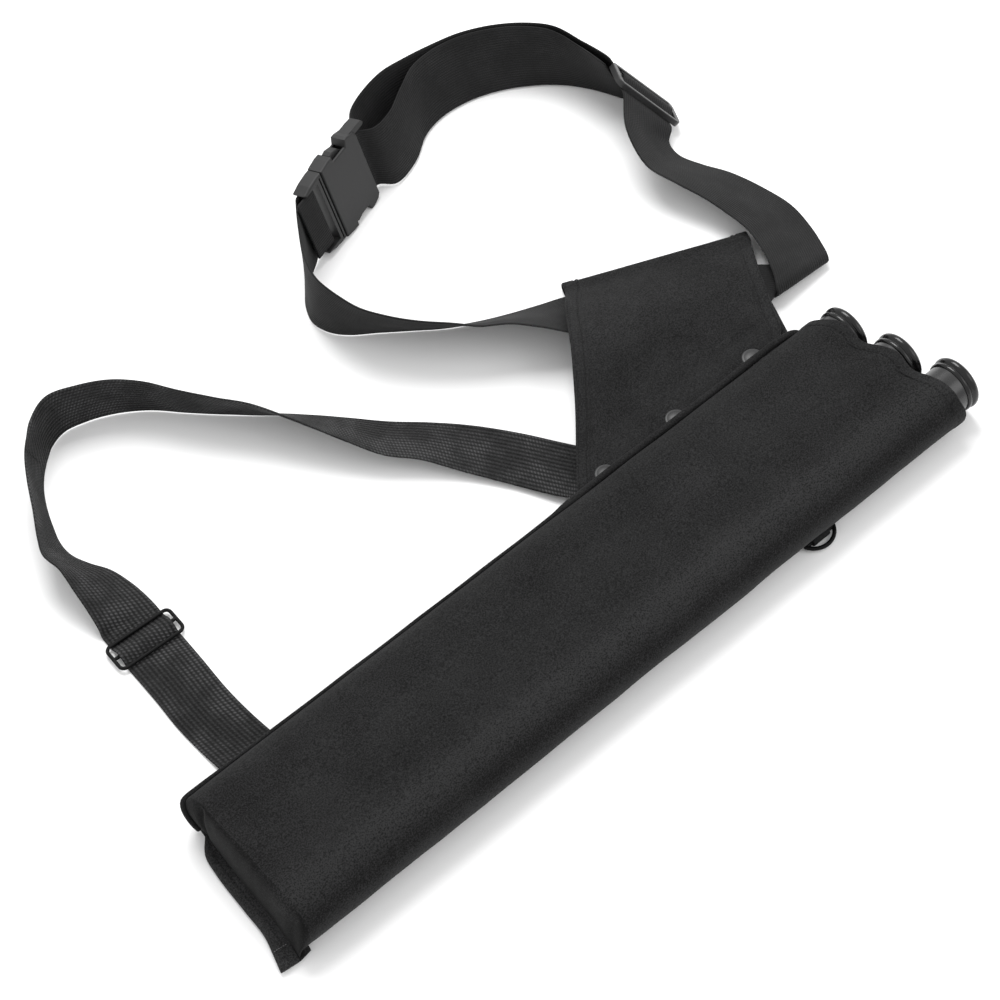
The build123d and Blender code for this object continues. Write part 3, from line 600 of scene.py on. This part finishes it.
def make_sleeve():
    """The padded cover with its turned-in mouth and its pinched foot."""
    profile = stadium(180)
    rows = []
    lengths = np.concatenate([
        np.linspace(0, 0.03, 7)[:-1], np.linspace(0.03, 0.965, 170)[:-1], np.linspace(0.965, 1, 26)
    ])
    for u in lengths:
        rows.append([sleeve_point(u, *p) for p in profile])
    turned = []
    for inset, back in ((0.25, -0.45), (1.0, -0.5), (1.7, 0.2), (2.0, 3.0), (1.9, 8.0), (1.6, 13.0)):
        ring = []
        for p in profile:
            q = sleeve_point(1.0, *p, inset=inset)
            q[0] -= back
            ring.append(q)
        turned.append(ring)
    closing = []
    for k in range(1, 15):
        f = k / 14
        ring = []
        for (y, z, ny, nz), q in zip(profile, rows[0]):
            seam_y = q[1]
            if q[1] > 38:
                seam_y = 38 + (q[1] - 38) * 0.3
            elif q[1] < -44:
                seam_y = -44 + (q[1] + 44) * 0.86
            seam_z = 3.6 if z > 20.5 else 1.4
            swing = math.sin(math.pi * f)
            corner = bell(q[1] - 56, 15) * (1 if q[1] > 38 else bell(q[1] - 38, 6))
            high = min(1.0, max(0.0, (z - 6) / 20))
            out = math.sin(f * math.pi / 2) ** 0.8
            x = q[0] + (seam_x(seam_y) - q[0]) * out
            x -= swing * (0.5 + 0.5 * high + 3.6 * corner * high)
            x += 0.7 * lump(q[1] * 1.6, z, f * 20, 13, 9.0) * swing
            yy = q[1] + (seam_y - q[1]) * (0.5 - 0.5 * math.cos(math.pi * f))
            zz = q[2] + (seam_z - q[2]) * (1 - math.cos(f * math.pi / 2)) ** 0.9
            pinch = bell(q[1] - 41.5, 2.6) * swing * high
            tuck = bell(q[1] + 50, 6) * swing * high
            ring.append(np.array([x + 3.6 * pinch + 3.0 * tuck, yy + 1.2 * tuck, max(zz, 0.2)]))
        closing.append(ring)
    k_seam = min(range(len(profile)), key=lambda k: math.hypot(profile[k][0] - 57.1, profile[k][1] - 29.2))
    turn = [ring[k_seam] + np.array([-0.9 - 0.4 * i / 14, 0.9, 0.2]) for i, ring in enumerate(closing)]
    make_piping([tuple(p) for p in turn[1:12:2]])
    rings = closing[::-1] + rows + turned
    count = len(profile)
    points = [p for ring in rings for p in ring]
    faces, uvs = [], []
    around = np.linspace(0, 0.3, count + 1)
    at = [r[0][0] for r in rings]
    for i in range(len(rings) - 1):
        for k in range(count):
            n = (k + 1) % count
            faces.append((i * count + k, (i + 1) * count + k, (i + 1) * count + n, i * count + n))
            a, b = at[i] * MM, at[i + 1] * MM
            uvs.append(((a, around[k]), (b, around[k]), (b, around[k + 1]), (a, around[k + 1])))
    obj = mesh_object("sleeve", points, faces, uvs)
    tidy = bmesh.new()
    tidy.from_mesh(obj.data)
    bmesh.ops.remove_doubles(tidy, verts=tidy.verts, dist=0.00002)
    bmesh.ops.recalc_face_normals(tidy, faces=tidy.faces)
    tidy.to_mesh(obj.data)
    tidy.free()
    wear(obj, cover_cloth)
    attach(obj, "quiver")
    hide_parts("sleeve_cover")
    make_liner(profile)

    lines = []
    for a, b in ((-36, 55), (-57, -37)):
        path = []
        for y in np.linspace(a, b, 26):
            where = abs(y) - FLAT
            z = TUBE_Z + (math.sqrt(max(SLEEVE_R**2 - where**2, 0)) if where > 0 else SLEEVE_R)
            ny = math.copysign(max(where, 0) / SLEEVE_R, y)
            nz = math.sqrt(max(1 - ny * ny, 0))
            span = mouth_x(y) - foot_x(z)
            path.append(sleeve_point(1 - 7.2 / span, y, z, ny, nz) + np.array([0, ny, nz]) * 0.15)
        lines.append(path)
    seam = stitches("mouth_stitching", lines, 3.0, 2.0, 0.26)
    wear(seam, thread)
    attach(seam, "quiver")
    return obj


def make_piping(turn):
    """The bound cord of the back seam, thicker at the hanger, then round the foot's corner."""
    path = [
        (231, 54.2, 27.4), (226.5, 57.2, 29.6), (220, 58.7, 30.4), (150, 58.7, 30.6),
        (60, 58.8, 30.2), (20, 58.0, 30.2), (-60, 57.7, 29.9),
        (-130, 57.4, 30.2), (-200, 57.7, 29.8), (-250, 57.8, 29.4), (-272, 57.6, 29.3), *turn,
    ]

    def radius(share):
        x = 231 - share * 538
        thick = step_down(18 - x, 2.5) * step_down(x - 228, 2.5)
        return 1.3 + 1.25 * thick + 0.6 * step_down(x + 268, 5.0) + 0.1 * math.sin(x / 9.0)

    obj = tube_along("back_piping", path, radius, 14, 1.6)
    wear(obj, binding_cloth)
    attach(obj, "quiver")
    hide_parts("back_seam_piping")


def make_foot_hem():
    """The flat bound hem that closes the foot, with its bar tack."""
    outer = [
        (-283.5, 40.5, 4.6), (-290.5, 32, 3.2), (-293.5, 17.5, 2.2), (-295.5, -10.5, 2.0),
        (-297.0, -32, 2.2),
        (-301, -46, 2.4), (-304.2, -56.2, 2.6),
    ]
    inner = [
        (-279.5, 39.5, 5.0), (-281, 32, 3.6), (-283, 16, 2.6), (-283.5, -10, 2.6), (-284.5, -32, 2.8),
        (-286.5, -46, 2.8), (-291.0, -58.0, 2.6),
    ]
    rows = [[*a, *b] for a, b in zip(outer, inner)]

    def relief(along, side, width, total):
        wobble = 0.35 * lump(along, side * 2, 0, 14, 4.0)
        binding = 0.45 * step_down(side - width * 0.55, 0.5)
        groove = -0.35 * bell(side - width * 0.55, 0.6)
        return wobble, binding + groove

    obj, length, _ = band("foot_hem", rows, 2.2, 18, relief, 1.5, 0.8)
    wear(obj, hem_cloth)
    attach(obj, "quiver")
    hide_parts("bottom_hem")
    tack_path = [(-299.3, -44.0, 4.35), (-294, -44.6, 4.3), (-289.4, -45.6, 4.6)]
    tack = stitches("foot_bar_tack", [tack_path], 1.5, 1.1, 0.3)
    wear(tack, tack_thread)
    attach(tack, "quiver")
    corner = [
        [-291.0, -58.2, 2.4, -282.0, -57.2, 3.0], [-290.2, -54, 3.4, -281.6, -53.2, 5.4],
        [-289.8, -49, 3.8, -283.2, -47.0, 7.0],
    ]
    lap, length, _ = band("foot_corner_lap", corner, 1.6, 10, None, 1.2, 0.6)
    wear(lap, cover_cloth)
    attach(lap, "quiver")


# ---------------------------------------------------------------- hanger
FOLD_LEFT = (151.5, 203.0)
FOLD_RIGHT = (273.5, 150.0)
SNAP_XY = ((65.0, 67.0), (128.0, 68.0), (199.0, 69.5))


def panel_z(y):
    return PANEL_ROOT_Z - PANEL_SLOPE * (y - 60)


def fold_point(point, setback, z):
    dx = FOLD_RIGHT[0] - FOLD_LEFT[0]
    dy = FOLD_RIGHT[1] - FOLD_LEFT[1]
    length = math.hypot(dx, dy)
    x = point[0] + dy / length * setback
    y = point[1] - dx / length * setback
    return (x, y, panel_z(y) + z)


def make_hanger():
    """One cloth: back panel, fold and front flap, hemmed along its sides."""
    rows = []
    for left, right in (
        ((34, 58.2), (229, 58.2)), ((44, 69), (233, 67)), ((64, 92), (240, 84)), ((88, 119), (247, 101)),
        ((112, 148), (255, 117)), ((132, 172), (262, 130)),
    ):
        rows.append([*left, panel_z(left[1]), *right, panel_z(right[1])])
    for setback, z in ((10, 0.0), (5.0, 0.0), (3.0, 0.5), (2.2, 2.1), (3.0, 3.7), (5.0, 4.2), (10, 4.5)):
        rows.append([*fold_point(FOLD_LEFT, setback, z), *fold_point(FOLD_RIGHT, setback, z)])
    front = (
        ((136.5, 182.5), 7.5, (265.5, 135.5), 0.4), ((124.5, 168.5), 16.0, (262.0, 129.5), 0.6),
        ((110, 149), 22.5, (256.5, 121), 0.8), ((98, 133), 18.5, (252.5, 114), 0.8),
        ((84, 115), 8.5, (248.0, 105), 0.6), ((70, 98), 2.2, (243, 96), 0.4),
        ((57, 84), 0.2, (237, 85), 0.2),
        ((49, 75), 0.0, (233.5, 77), 0.1), ((42.5, 67.2), 0.0, (226.5, 68.5), 0.0),
        ((36.5, 60.3), 0.0, (213, 60.3), 0.0),
    )
    for left, lift_left, right, lift_right in front:
        rows.append([
            *left, panel_z(left[1]) + PANEL_GAP + lift_left, *right, panel_z(right[1]) + PANEL_GAP + lift_right
        ])

    def relief(along, side, width, total):
        hem = 11.5
        near = min(side, width - side)
        front_side = step_down(total * 0.54 - along, 4.0)
        grow = 0.75 * step_down(near - hem, 0.25) - 0.6 * bell(near - hem + 2.6, 0.8)
        end = total - along
        grow += 0.45 * step_down(end - 9, 0.55) + 0.5 * step_down(end - 3.0, 0.6)
        shift = 0.55 * lump(along * 1.3, side, 0, 34, 2.0) + 0.2 * lump(along, side * 2, 5, 12, 6.0)
        shift *= 0.15 + 0.85 * front_side
        away = min(1.0, max(0.0, (end - 16) / 30))
        shift += front_side * away * 1.1 * bell(end - 78, 26)
        shift -= front_side * 0.9 * bell(end - 44 + 0.08 * side, 6)
        shift *= min(1.0, near / 6 + 0.25)
        # Hems thicken away from the gap, which leaves the height between the panels clear.
        shift += grow / 2
        return shift, grow / 2

    shares = np.concatenate([
        np.linspace(0, 0.1, 34)[:-1], np.linspace(0.1, 0.9, 90)[:-1], np.linspace(0.9, 1, 34)
    ])
    obj, _, crown = band("hanger_cloth", rows, 1.3, 0, relief, 1.6, 0.5, shares)
    wear(obj, panel_cloth)
    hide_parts("hanger_back_panel", "flap_front", "flap_fold")
    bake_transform(obj)

    first = int(len(crown) * 0.56)
    paths = []
    for inset, mirrored in ((8.9, False), (8.9, True), (1.8, False), (1.8, True)):
        path = []
        for row in crown[first + (9 if mirrored else 0):-3]:
            width = float(np.linalg.norm(row[-1][0] - row[0][0]))
            share = 1 - inset / width if mirrored else inset / width
            k = int(np.argmin(np.abs(shares - share)))
            path.append(row[k][0] + row[k][1] * 0.1)
        paths.append(path)
    seams = stitches("flap_stitching", paths, 2.8, 1.9, 0.24)
    wear(seams, thread)
    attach(seams, "flap")


def make_caps():
    """Domed press-stud caps on the flap."""
    normal = Vector((0, PANEL_SLOPE, 1)).normalized()
    turn = Vector((0, 0, 1)).rotation_difference(normal).to_matrix()
    profile = [
        (0, 2.3), (1.6, 2.25), (3.2, 2.05), (4.6, 1.7), (5.7, 1.2), (6.2, 0.95), (6.7, 0.95),
        (7.2, 0.75), (7.6, 0.3),
        (7.5, 0.0), (6.8, -0.3),
    ]
    points, faces = [], []
    for x, y in SNAP_XY:
        centre = Vector((x, y - 2.3, panel_z(y) + PANEL_GAP + 0.75))
        first = len(points)
        for r, h in profile:
            for k in range(36):
                a = 2 * math.pi * k / 36
                points.append(np.array(centre + turn @ Vector((r * math.cos(a), r * math.sin(a), h))))
        for i in range(len(profile) - 1):
            for k in range(36):
                n = (k + 1) % 36
                a = first + i * 36
                faces.append((a + k, a + 36 + k, a + 36 + n, a + n))
    obj = mesh_object("press_caps", points, faces)
    tidy = bmesh.new()
    tidy.from_mesh(obj.data)
    bmesh.ops.remove_doubles(tidy, verts=tidy.verts, dist=0.00002)
    bmesh.ops.recalc_face_normals(tidy, faces=tidy.faces)
    tidy.to_mesh(obj.data)
    tidy.free()
    wear(obj, cap_lacquer)
    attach(obj, "flap")
    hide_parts("snap_caps")


# ---------------------------------------------------------------- buckle and slider places
def plane(origin, along, out):
    """A fitting's own frame as (origin, along, across, out)."""
    along = Vector(along).normalized()
    out = Vector(out).normalized()
    return Vector(origin), along, out.cross(along).normalized(), out


HEAD = math.radians(197.8)
LEAN = math.radians(18.0)
BUCKLE_U = Vector((math.cos(HEAD), math.sin(HEAD), 0))
BUCKLE = plane(
    (106.3, 356.7, 29.2), BUCKLE_U,
    (-math.cos(LEAN) * BUCKLE_U.y, math.cos(LEAN) * BUCKLE_U.x, math.sin(LEAN)),
)
SLIDER_RUN = Vector((0.46, 0.84, -0.27)).normalized()
SLIDER_RISE = Vector((-0.54, 0.42, 0.73)).normalized()
SLIDER = plane((294, 273, 26), SLIDER_RUN, SLIDER_RUN.cross(SLIDER_RISE))
STRAP_SLIDER = plane((-227, 172, 3.4), (-0.04, -1, 0), (0, 0, 1))


def row_in(fitting, run, rise, width, upward=1, slide=0.0):
    """A band row in a fitting's frame: across runs toward the raised edge."""
    origin, along, across, out = fitting
    centre = origin + along * run + out * rise + across * slide
    way = across * upward
    return [*(centre - way * (width / 2)), *(centre + way * (width / 2))]


def web_relief(ribs, height, wobble, seed):
    def relief(along, side, width, total):
        rib = height * (0.5 - 0.5 * math.cos(2 * math.pi * side / width * ribs))
        wave = wobble * lump(along, side, 0, 40, seed)
        wave += 0.3 * wobble * lump(along * 2, side * 3, 0, 30, seed + 5)
        return wave, rib
    return relief


def webbing(
    name, rows, width, mat, slot, replaced, held, rests, ribs, height,
    thick=1.3, step=2.0, seed=1.0, wobble=0.35,
):
    """One length of webbing with ribs."""
    obj, length, _ = band(name, rows, thick, ribs * 4, web_relief(ribs, height, wobble, seed), step, 0.5)
    wear(obj, mat)
    if replaced:
        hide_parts(*replaced)
    return obj


def belt_piece(name, rows, replaced, held="laid", rests=("floor",), **more):
    return webbing(name, rows, BELT, belt_web, "webbing_belt", replaced, held, list(rests), 25, 0.1, **more)


def strap_piece(name, rows, replaced, held="laid", rests=("floor",), **more):
    return webbing(name, rows, STRAP, strap_web, "webbing_strap", replaced, held, list(rests), 14, 0.22, **more)


def make_belt():
    bar = 55.4
    left = [row_in(BUCKLE, bar + a, b, BELT, -1) for a, b in ((2.2, 0.2), (3.2, -2.2), (8, -2.6))]
    left += leaning([
        (40, 327, 2, 1, 18, 46), (32, 322, 1, -3, 6, 50), (20.5, 314, 1, -3, -5, 50),
        (11.5, 303, 1, 1, -8, 50),
        (7, 291, 1, 4, -7, 50), (10, 278, 1, 3, -11, 49), (19, 267, 1, -2, -15, 48),
        (34, 256, 1, -8, -18, 46),
        (54, 241, 1, -13, -21, 44), (73, 227, 1, -16, -22, 42), (91, 217, 1, -20, -24, 39),
        (110, 208, 1.5, -22, -25, 36),
        (128, 200, 3.0, -24, -31, 30), (144, 193, 4.6, -26, -36, 22),
        (161, 184, 5.4, -25, -41, 13), (180, 173, 6.1, -24, -43, 5),
        (205, 160, panel_z(160) + 2.1, -24, -44, 3.1),
    ], BELT)
    piece = belt_piece("belt_left", left, ["belt_left_run"], seed=2.0)
    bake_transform(piece)

    tail_stations = ((2.2, -0.4), (-2.6, 2.2), (2, 2.8), (9, 2.6), (15.5, 2.6))
    tail = [row_in(BUCKLE, bar + a, b, BELT - 1, -1) for a, b in tail_stations]
    piece = belt_piece(
        "belt_tail_end", tail, ["belt_tail"], held="folded", rests=["belt_left"],
        thick=1.8, step=1.0, seed=3.0, wobble=0.1,
    )
    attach(piece, "male_half")

    tunnel = leaning([
        (181, 172.5, 6.2, -24, -43, 5), (205, 160, panel_z(160) + 2.1, -24, -44, 3.1),
        (233, 142, panel_z(142) + 2.1, -25, -43, 3.1),
        (256, 126, 9.2, -34, -36, 4.6), (274, 113, 6.5, -43, -24, 6.6),
        (288, 105.5, 3.6, -49, -9, 3.8), (297, 103, 2.8, -50, -1, 3),
    ], BELT)
    piece = belt_piece(
        "belt_in_hanger", tunnel, ["belt_tunnel_run"], held="stretched", rests=["hanger_cloth"], seed=4.0
    )
    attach(piece, "quiver")

    right = leaning([
        (299, 103.4, 2.8, -50, -1, 3), (299.4, 98.4, 2.9, -50, 0, 3), (300, 95.6, 5.8, -50, 0, 5),
        (301, 98, 8.8, -50, 0, 6),
        (306, 108, 6.5, -48, -2, 9), (313, 126, 3, -48, -3, 13), (317, 149, 1.2, -47, -5, 16),
        (313, 174, 1, -46, -10, 19),
        (306, 196, 1, -43, -13, 22), (296, 215, 1, -40, -14, 26), (289, 231, 2, -40, -6, 29),
        (288.5, 241, 7, -34, 10, 35),
    ], BELT)
    over_bar = (
        (-16, -3.05), (-9.8, -3.05), (-5.8, 0.0), (-1.8, 3.05), (1.8, 3.05), (5.8, 0.0),
        (9.8, -3.05), (15, -3.05)
    )
    right += [row_in(SLIDER, a, b, BELT) for a, b in over_bar]
    piece = belt_piece("belt_right", right, ["belt_right_run"], seed=5.0)
    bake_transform(piece)

    back = [row_in(SLIDER, 14.6, -3.05, BELT)]
    back += leaning([
        (300.5, 297, 1, -16, 4, 47), (287.5, 319, 1, -8, 5, 49), (273.4, 336.4, 1, 1, 10, 49),
        (256.3, 350.4, 1, 4, 14, 48),
        (240, 360, 1, 3, 18, 46), (221.4, 367.4, 1, 1, 21, 46), (201, 371.6, 1, -1, 22, 45),
        (181, 373.8, 1, -1, 23, 44),
        (160, 375, 1, 0, 23, 44), (141, 371.5, 1, -1, 22, 45), (124, 365, 2, -3, 19, 46),
    ], BELT)
    into_female = ((-6, -5.2), (2, -4.0), (8.2, -3.7), (10.0, -2.6))
    back += [row_in(BUCKLE, a, b, BELT, -1) for a, b in into_female]
    piece = belt_piece("belt_band_back", back, ["belt_loop_back"], seed=6.0)
    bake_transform(piece)

    front = [row_in(BUCKLE, a, b, BELT, -1) for a, b in ((10.4, -1.6), (10.2, 0.7), (8.8, 1.6))]
    front += [row_in(BUCKLE, 1, 1.5, BELT, -1, 1.5), row_in(BUCKLE, -7, -0.4, BELT, -1, 3.5)]
    front += leaning([
        (126, 343.5, 1.5, -4, 18, 46), (147, 349, 1, -8, 16, 47), (168, 362, 1, -9, 14, 47),
        (185, 367, 1, -6, 20, 46),
        (201, 367.5, 1, -2, 22, 45), (220, 364, 1, 1, 22, 45), (238, 357, 1, 3, 19, 46),
        (254, 347.5, 1, 4, 15, 48),
        (270.5, 334, 1, 0, 11, 49), (284, 317, 1, -9, 5, 49), (295.5, 296, 1, -17, 4, 47),
    ], BELT)
    front += [row_in(SLIDER, a, b, BELT) for a, b in ((15, -6.0), (8, -5.8), (3, -4.4), (-2.5, -3.6))]
    piece = belt_piece("belt_band_front", front, ["belt_loop_front"], seed=7.0)
    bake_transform(piece)


def make_strap():
    far = leaning([
        (88, 73, 7, -39, -7, -1), (70, 99, 6, -32, -24, -1), (51, 130, 4, -31, -25, 0),
        (32, 157, 2, -30, -26, 5),
        (13, 178, 1, -29, -25, 13), (-7, 197, 1, -26, -26, 16), (-22, 213, 1, -23, -24, 22),
        (-39, 231, 1, -18, -22, 28),
        (-55, 247, 1, -13, -19, 32), (-71, 261, 1, -9, -14, 37), (-87, 276, 1, -7, -11, 38),
        (-103, 292, 1, -5, -8, 39),
        (-120, 309, 1, -2, -4, 40), (-138, 321, 1, 0, 0, 40), (-155, 328, 1, -1, 3, 40),
        (-171, 331, 1, -4, 6, 39),
        (-186, 326, 1, -7, 3, 39), (-198, 316, 1, -11, -3, 38),
    ], STRAP)
    near = leaning([
        (-186, 326, 1, -7, 3, 39), (-198, 316, 1, -11, -3, 38), (-208, 304, 1, -13, -9, 37),
        (-215, 291, 1, -16, -15, 33), (-220, 278, 1, -20, -18, 29), (-224, 265, 1, -21, -17, 29),
        (-224, 252, 1, -20, -18, 30),
        (-219, 240, 1, -25, -13, 28), (-212, 228, 1, -32, -8, 22), (-208, 212, 1, -37, -5, 15),
        (-206.5, 198, 1.1, -39, -3, 7),
    ], STRAP)
    near += [row_in(STRAP_SLIDER, a, b, STRAP, -1) for a, b in ((-18, -2.3), (-13.6, -2.3))]
    piece = strap_piece("strap_long", far, ["shoulder_strap_loop"], seed=8.0)
    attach(piece, "quiver")
    piece = strap_piece("strap_turn", near, [], seed=8.0)
    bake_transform(piece)

    over_wire = (
        (-13.8, -2.3), (-8.4, -2.3), (-5, 0), (-1.8, 2.3), (1.8, 2.3), (5, 0), (8.4, -2.3), (14, -2.4)
    )
    lower = [row_in(STRAP_SLIDER, a, b, STRAP, -1) for a, b in over_wire]
    lower += leaning([
        (-208.5, 138, 1, -40, -3, 0), (-210, 112, 1, -40, -2, 0), (-209.5, 88, 1.2, -40, -1, 0),
        (-208.2, 66, 3.2, -40, 0, 0),
        (-208, 57, 6.6, -40, 0, 0),
    ], STRAP)
    piece = strap_piece("strap_short", lower, ["shoulder_strap_adjuster"], seed=9.0)
    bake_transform(piece)


# ---------------------------------------------------------------- soft copies and hard parts
def softened(node, name, voxel, amount, size, mat, body):
    """A new soft piece in the shape of a hidden frame node, remeshed and made uneven."""
    mesh = nodes[node].data.copy()
    obj = bpy.data.objects.new(name, mesh)
    bpy.context.scene.collection.objects.link(obj)
    bpy.context.view_layer.objects.active = obj
    remesh = obj.modifiers.new("even", "REMESH")
    remesh.mode = "VOXEL"
    remesh.voxel_size = voxel * MM
    evaluated = obj.evaluated_get(bpy.context.evaluated_depsgraph_get())
    made = bpy.data.meshes.new_from_object(evaluated)
    obj.modifiers.clear()
    obj.data = made
    count = len(made.vertices)
    co = np.zeros(count * 3)
    made.vertices.foreach_get("co", co)
    co = co.reshape(-1, 3)
    no = np.zeros(count * 3)
    made.vertices.foreach_get("normal", no)
    no = no.reshape(-1, 3)
    push = np.array([noise.noise(Vector(p / (size * MM))) for p in co]) * amount * MM
    made.vertices.foreach_set("co", (co + no * push[:, None]).ravel())
    made.update()
    made.polygons.foreach_set("use_smooth", [True] * len(made.polygons))
    wear(obj, mat)
    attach(obj, body)
    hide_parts(node)
    return obj


def finish_hard():
    looks = {
        "tube_": (tube_gloss, None), "mouth_ring_": (ring_gloss, None), "end_plug_": (plug_matte, None),
        "buckle_": (buckle_matte, 0.35), "latch_": (buckle_matte, 0.3), "belt_slider": (slider_matte, 0.4),
        "strap_slider": (wire_black, None), "d_ring": (wire_black, None), "snap_": (cap_lacquer, None),
    }
    for name, obj in nodes.items():
        if obj.hide_render:
            continue
        for start, (mat, bevel) in looks.items():
            if name.startswith(start):
                obj.data.materials.clear()
                obj.data.materials.append(mat)
                if bevel:
                    mod = obj.modifiers.new("soft_edges", "BEVEL")
                    mod.width = bevel * MM
                    mod.segments = 2
                    mod.limit_method = "ANGLE"
                    mod.angle_limit = math.radians(50)
                break


make_sleeve()
make_foot_hem()
make_hanger()
make_caps()
make_belt()
make_strap()
softened("mouth_facing", "mouth_lining", 1.0, 0.5, 7.0, binding_cloth, "quiver")
ring_tab = softened("d_ring_tab", "ring_tab", 0.4, 0.15, 3.0, strap_web, "quiver")
finish_hard()

# ---------------------------------------------------------------- stage
floor_mesh = bpy.data.meshes.new("floor")
floor_mesh.from_pydata([(-6, -6, 0), (6, -6, 0), (6, 6, 0), (-6, 6, 0)], [], [(0, 1, 2, 3)])
floor = bpy.data.objects.new("floor", floor_mesh)
bpy.context.scene.collection.objects.link(floor)
floor_paint, _, floor_shader = new_material("floor_paint")
floor_shader.inputs["Base Color"].default_value = (0.96, 0.96, 0.96, 1)
floor_shader.inputs["Roughness"].default_value = 0.9
floor_shader.inputs["Specular IOR Level"].default_value = 0.1
floor.data.materials.append(floor_paint)

world = bpy.data.worlds.new("studio")
bpy.context.scene.world = world
world.use_nodes = True
world.node_tree.nodes["Background"].inputs["Color"].default_value = (1, 1, 1, 1)
world.node_tree.nodes["Background"].inputs["Strength"].default_value = 0.9


def lamp(name, place, size, power):
    """A soft square light aimed at the quiver."""
    data = bpy.data.lights.new(name, "AREA")
    data.size = size
    data.energy = power
    obj = bpy.data.objects.new(name, data)
    bpy.context.scene.collection.objects.link(obj)
    obj.location = place
    obj.rotation_euler = (Vector((0.0, 0.1, 0.0)) - Vector(place)).to_track_quat("-Z", "Y").to_euler()


lamp("key", (0.5, 1.3, 1.9), 1.2, 44)
lamp("fill", (1.4, -1.4, 1.8), 1.4, 12)
bpy.context.scene.view_settings.view_transform = "Standard"
